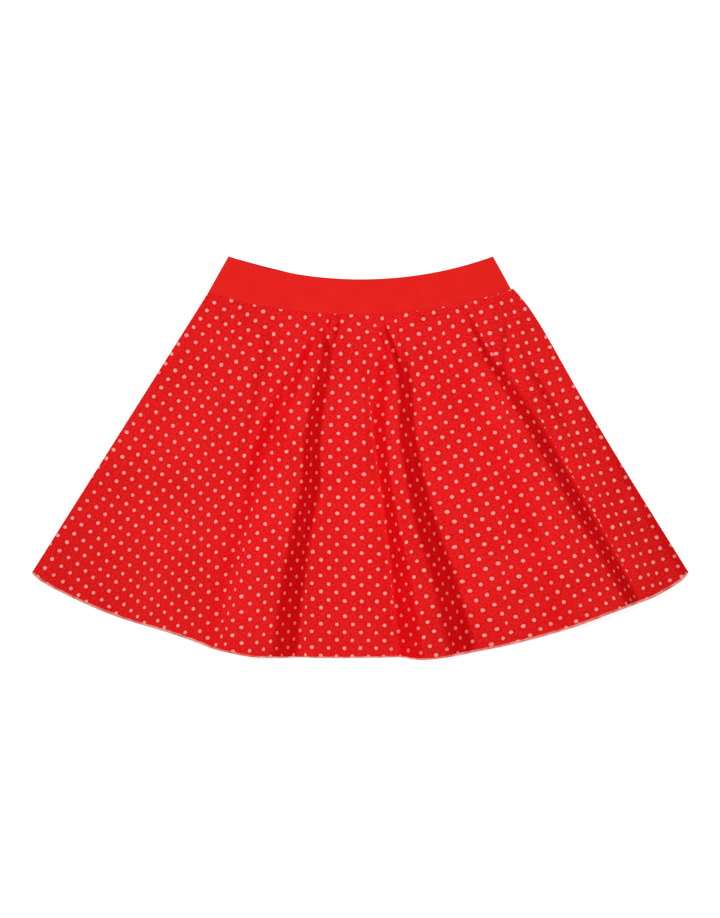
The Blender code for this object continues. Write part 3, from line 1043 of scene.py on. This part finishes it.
def hemFrame(over, under):
    # which way is out from the hem and up from the cloth, at each point of the hem
    middle = (over + under) / 2
    outward = unit(middle[-1] - middle[-6])
    return outward, upwardOf(unit(np.cross(np.gradient(middle[-1], axis=0), outward)))


hemLine = frontUnder[-1] + frontNormal[-1] * panelShape["wall"] / 2
frontHemThread = hemThread("frontHemThread", hemLine, *hemFrame(frontOver, frontUnder), 1.0)
hemLine = backTop[-1] - backNormal[-1] * panelShape["wall"] / 2
hemLine[:, 2] = np.maximum(hemLine[:, 2], hemThreadShape["half"] + hemThreadShape["radius"])
backHemThread = hemThread("backHemThread", hemLine, *hemFrame(backTop, backOut), 2.2)

stitchShape = {
    "count": 104,
    "length": 0.0021,
    # waves, each a size and a rate from stitch to stitch
    "longer": ((0.14, 1.7),),
    "along": ((0.0004, 2.4), (0.0003, 0.37)),
    "across": ((0.00018, 3.1),),
    "radius": 0.00017,
    "points": 6,
    "sides": 5,
    "below": 0.0011,  # under the waistband's edge
    "fromLeft": 0.004,
    "fromRight": 0.006,
    "sunk": 0.00055,  # deep in the seam at left, less so at right
    "sunkLess": 0.00036,
    "sunkLessBy": (0.02, 0.12),  # metres right of the middle
    "arch": 0.00032,
}


def seamStitches(over):
    shape = stitchShape
    paths = []
    row = int(np.argmin(np.abs(edgeDistances(over)[2][:, 0] - shape["below"])))
    line = over[row]
    passed = summed(stepLengths(line))
    arch = shape["arch"] * np.sin(np.linspace(0, math.pi, shape["points"]))
    starts = np.linspace(shape["fromLeft"], passed[-1] - shape["fromRight"], shape["count"])
    for number, start in enumerate(starts):
        longer, along, across = (
            sum(size * math.sin(number * rate) for size, rate in shape[waves])
            for waves in ("longer", "along", "across")
        )
        length = shape["length"] * (1 + longer)
        path = readAlong(line, passed, start + along + np.linspace(0, length, shape["points"]))
        path[:, 1] += across
        shallower = shape["sunkLess"] * eased(path[0, 0], *shape["sunkLessBy"])
        path[:, 2] += arch - shape["sunk"] + shallower
        paths.append(path)
    return threads("waistSeamStitches", paths, shape["radius"], shape["sides"], redThread)


waistSeamStitches = seamStitches(frontOver)
print("sewing: threads are on")


for piece, node, slot in (
    (frontPanel, "front_panel", "dotted_jersey"),
    (backPanel, "back_panel", "dotted_jersey"),
    (waistbandFront, "waistband_front", "plain_waistband"),
    (waistbandBack, "waistband_back", "plain_waistband"),
    (frontHemThread, None, "hem_thread"),
    (backHemThread, None, "hem_thread"),
    (waistSeamStitches, None, "hem_thread"),
):
    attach(piece, "root")
    if node:
        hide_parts(node)


studio = {
    "floorSize": 8.0,
    "floorBelow": 0.0002,
    "floorWhite": 0.54,
    "floorGlow": 0.80,  # the table is lit from below a little, so shadows on it stay faint
    "ambient": 0.35,
    "keyPower": 5.92,
    "keySize": 0.75,
    "keyPlace": (-0.40, 0.16, 1.70),
    "keyAim": (0.12, 0.0, 0.0),
    "keySpread": 85.0,  # degrees, as of a softbox with a grid
    "viewHeight": 1.0557,  # what the picture's height covers on the floor
    "viewCentre": (0.0, -0.0016),
    "cameraHeight": 12.0,
}

mesh = bpy.data.meshes.new("floor")
half = studio["floorSize"] / 2
square = ((-half, -half), (half, -half), (half, half), (-half, half))
mesh.from_pydata([(x, y, -studio["floorBelow"]) for x, y in square], [], [(0, 1, 2, 3)])
floor = stand("floor", mesh)
floorFinish = Finish("pale floor", 0.9, 0.0)
white = studio["floorWhite"]
floorFinish.feed("Base Color", (white, white, white, 1))
floorFinish.feed("Emission Color", (1, 1, 1, 1))
floorFinish.feed("Emission Strength", studio["floorGlow"])
mesh.materials.append(floorFinish.material)

scene = bpy.context.scene
world = bpy.data.worlds.new("studio")
world.use_nodes = True
background = world.node_tree.nodes["Background"]
background.inputs["Color"].default_value = (1, 1, 1, 1)
background.inputs["Strength"].default_value = studio["ambient"]
scene.world = world

light = bpy.data.lights.new("softbox", "AREA")
light.shape = "DISK"
light.size = studio["keySize"]
light.energy = studio["keyPower"]
light.spread = math.radians(studio["keySpread"])
softbox = stand("softbox", light)
softbox.location = studio["keyPlace"]
softbox.rotation_mode = "QUATERNION"
back = softbox.location - Vector(studio["keyAim"])
softbox.rotation_quaternion = back.to_track_quat("Z", "Y")

lens = bpy.data.cameras.new("camera")
lens.sensor_width = 36.0  # spans the picture's longer side, its height
lens.lens = lens.sensor_width * studio["cameraHeight"] / studio["viewHeight"]
lens.clip_start, lens.clip_end = 0.1, 100.0
camera = stand("camera", lens)
camera.location = (*studio["viewCentre"], studio["cameraHeight"])
scene.camera = camera
scene.view_settings.view_transform = "Standard"
print("studio: floor, light and camera are set")
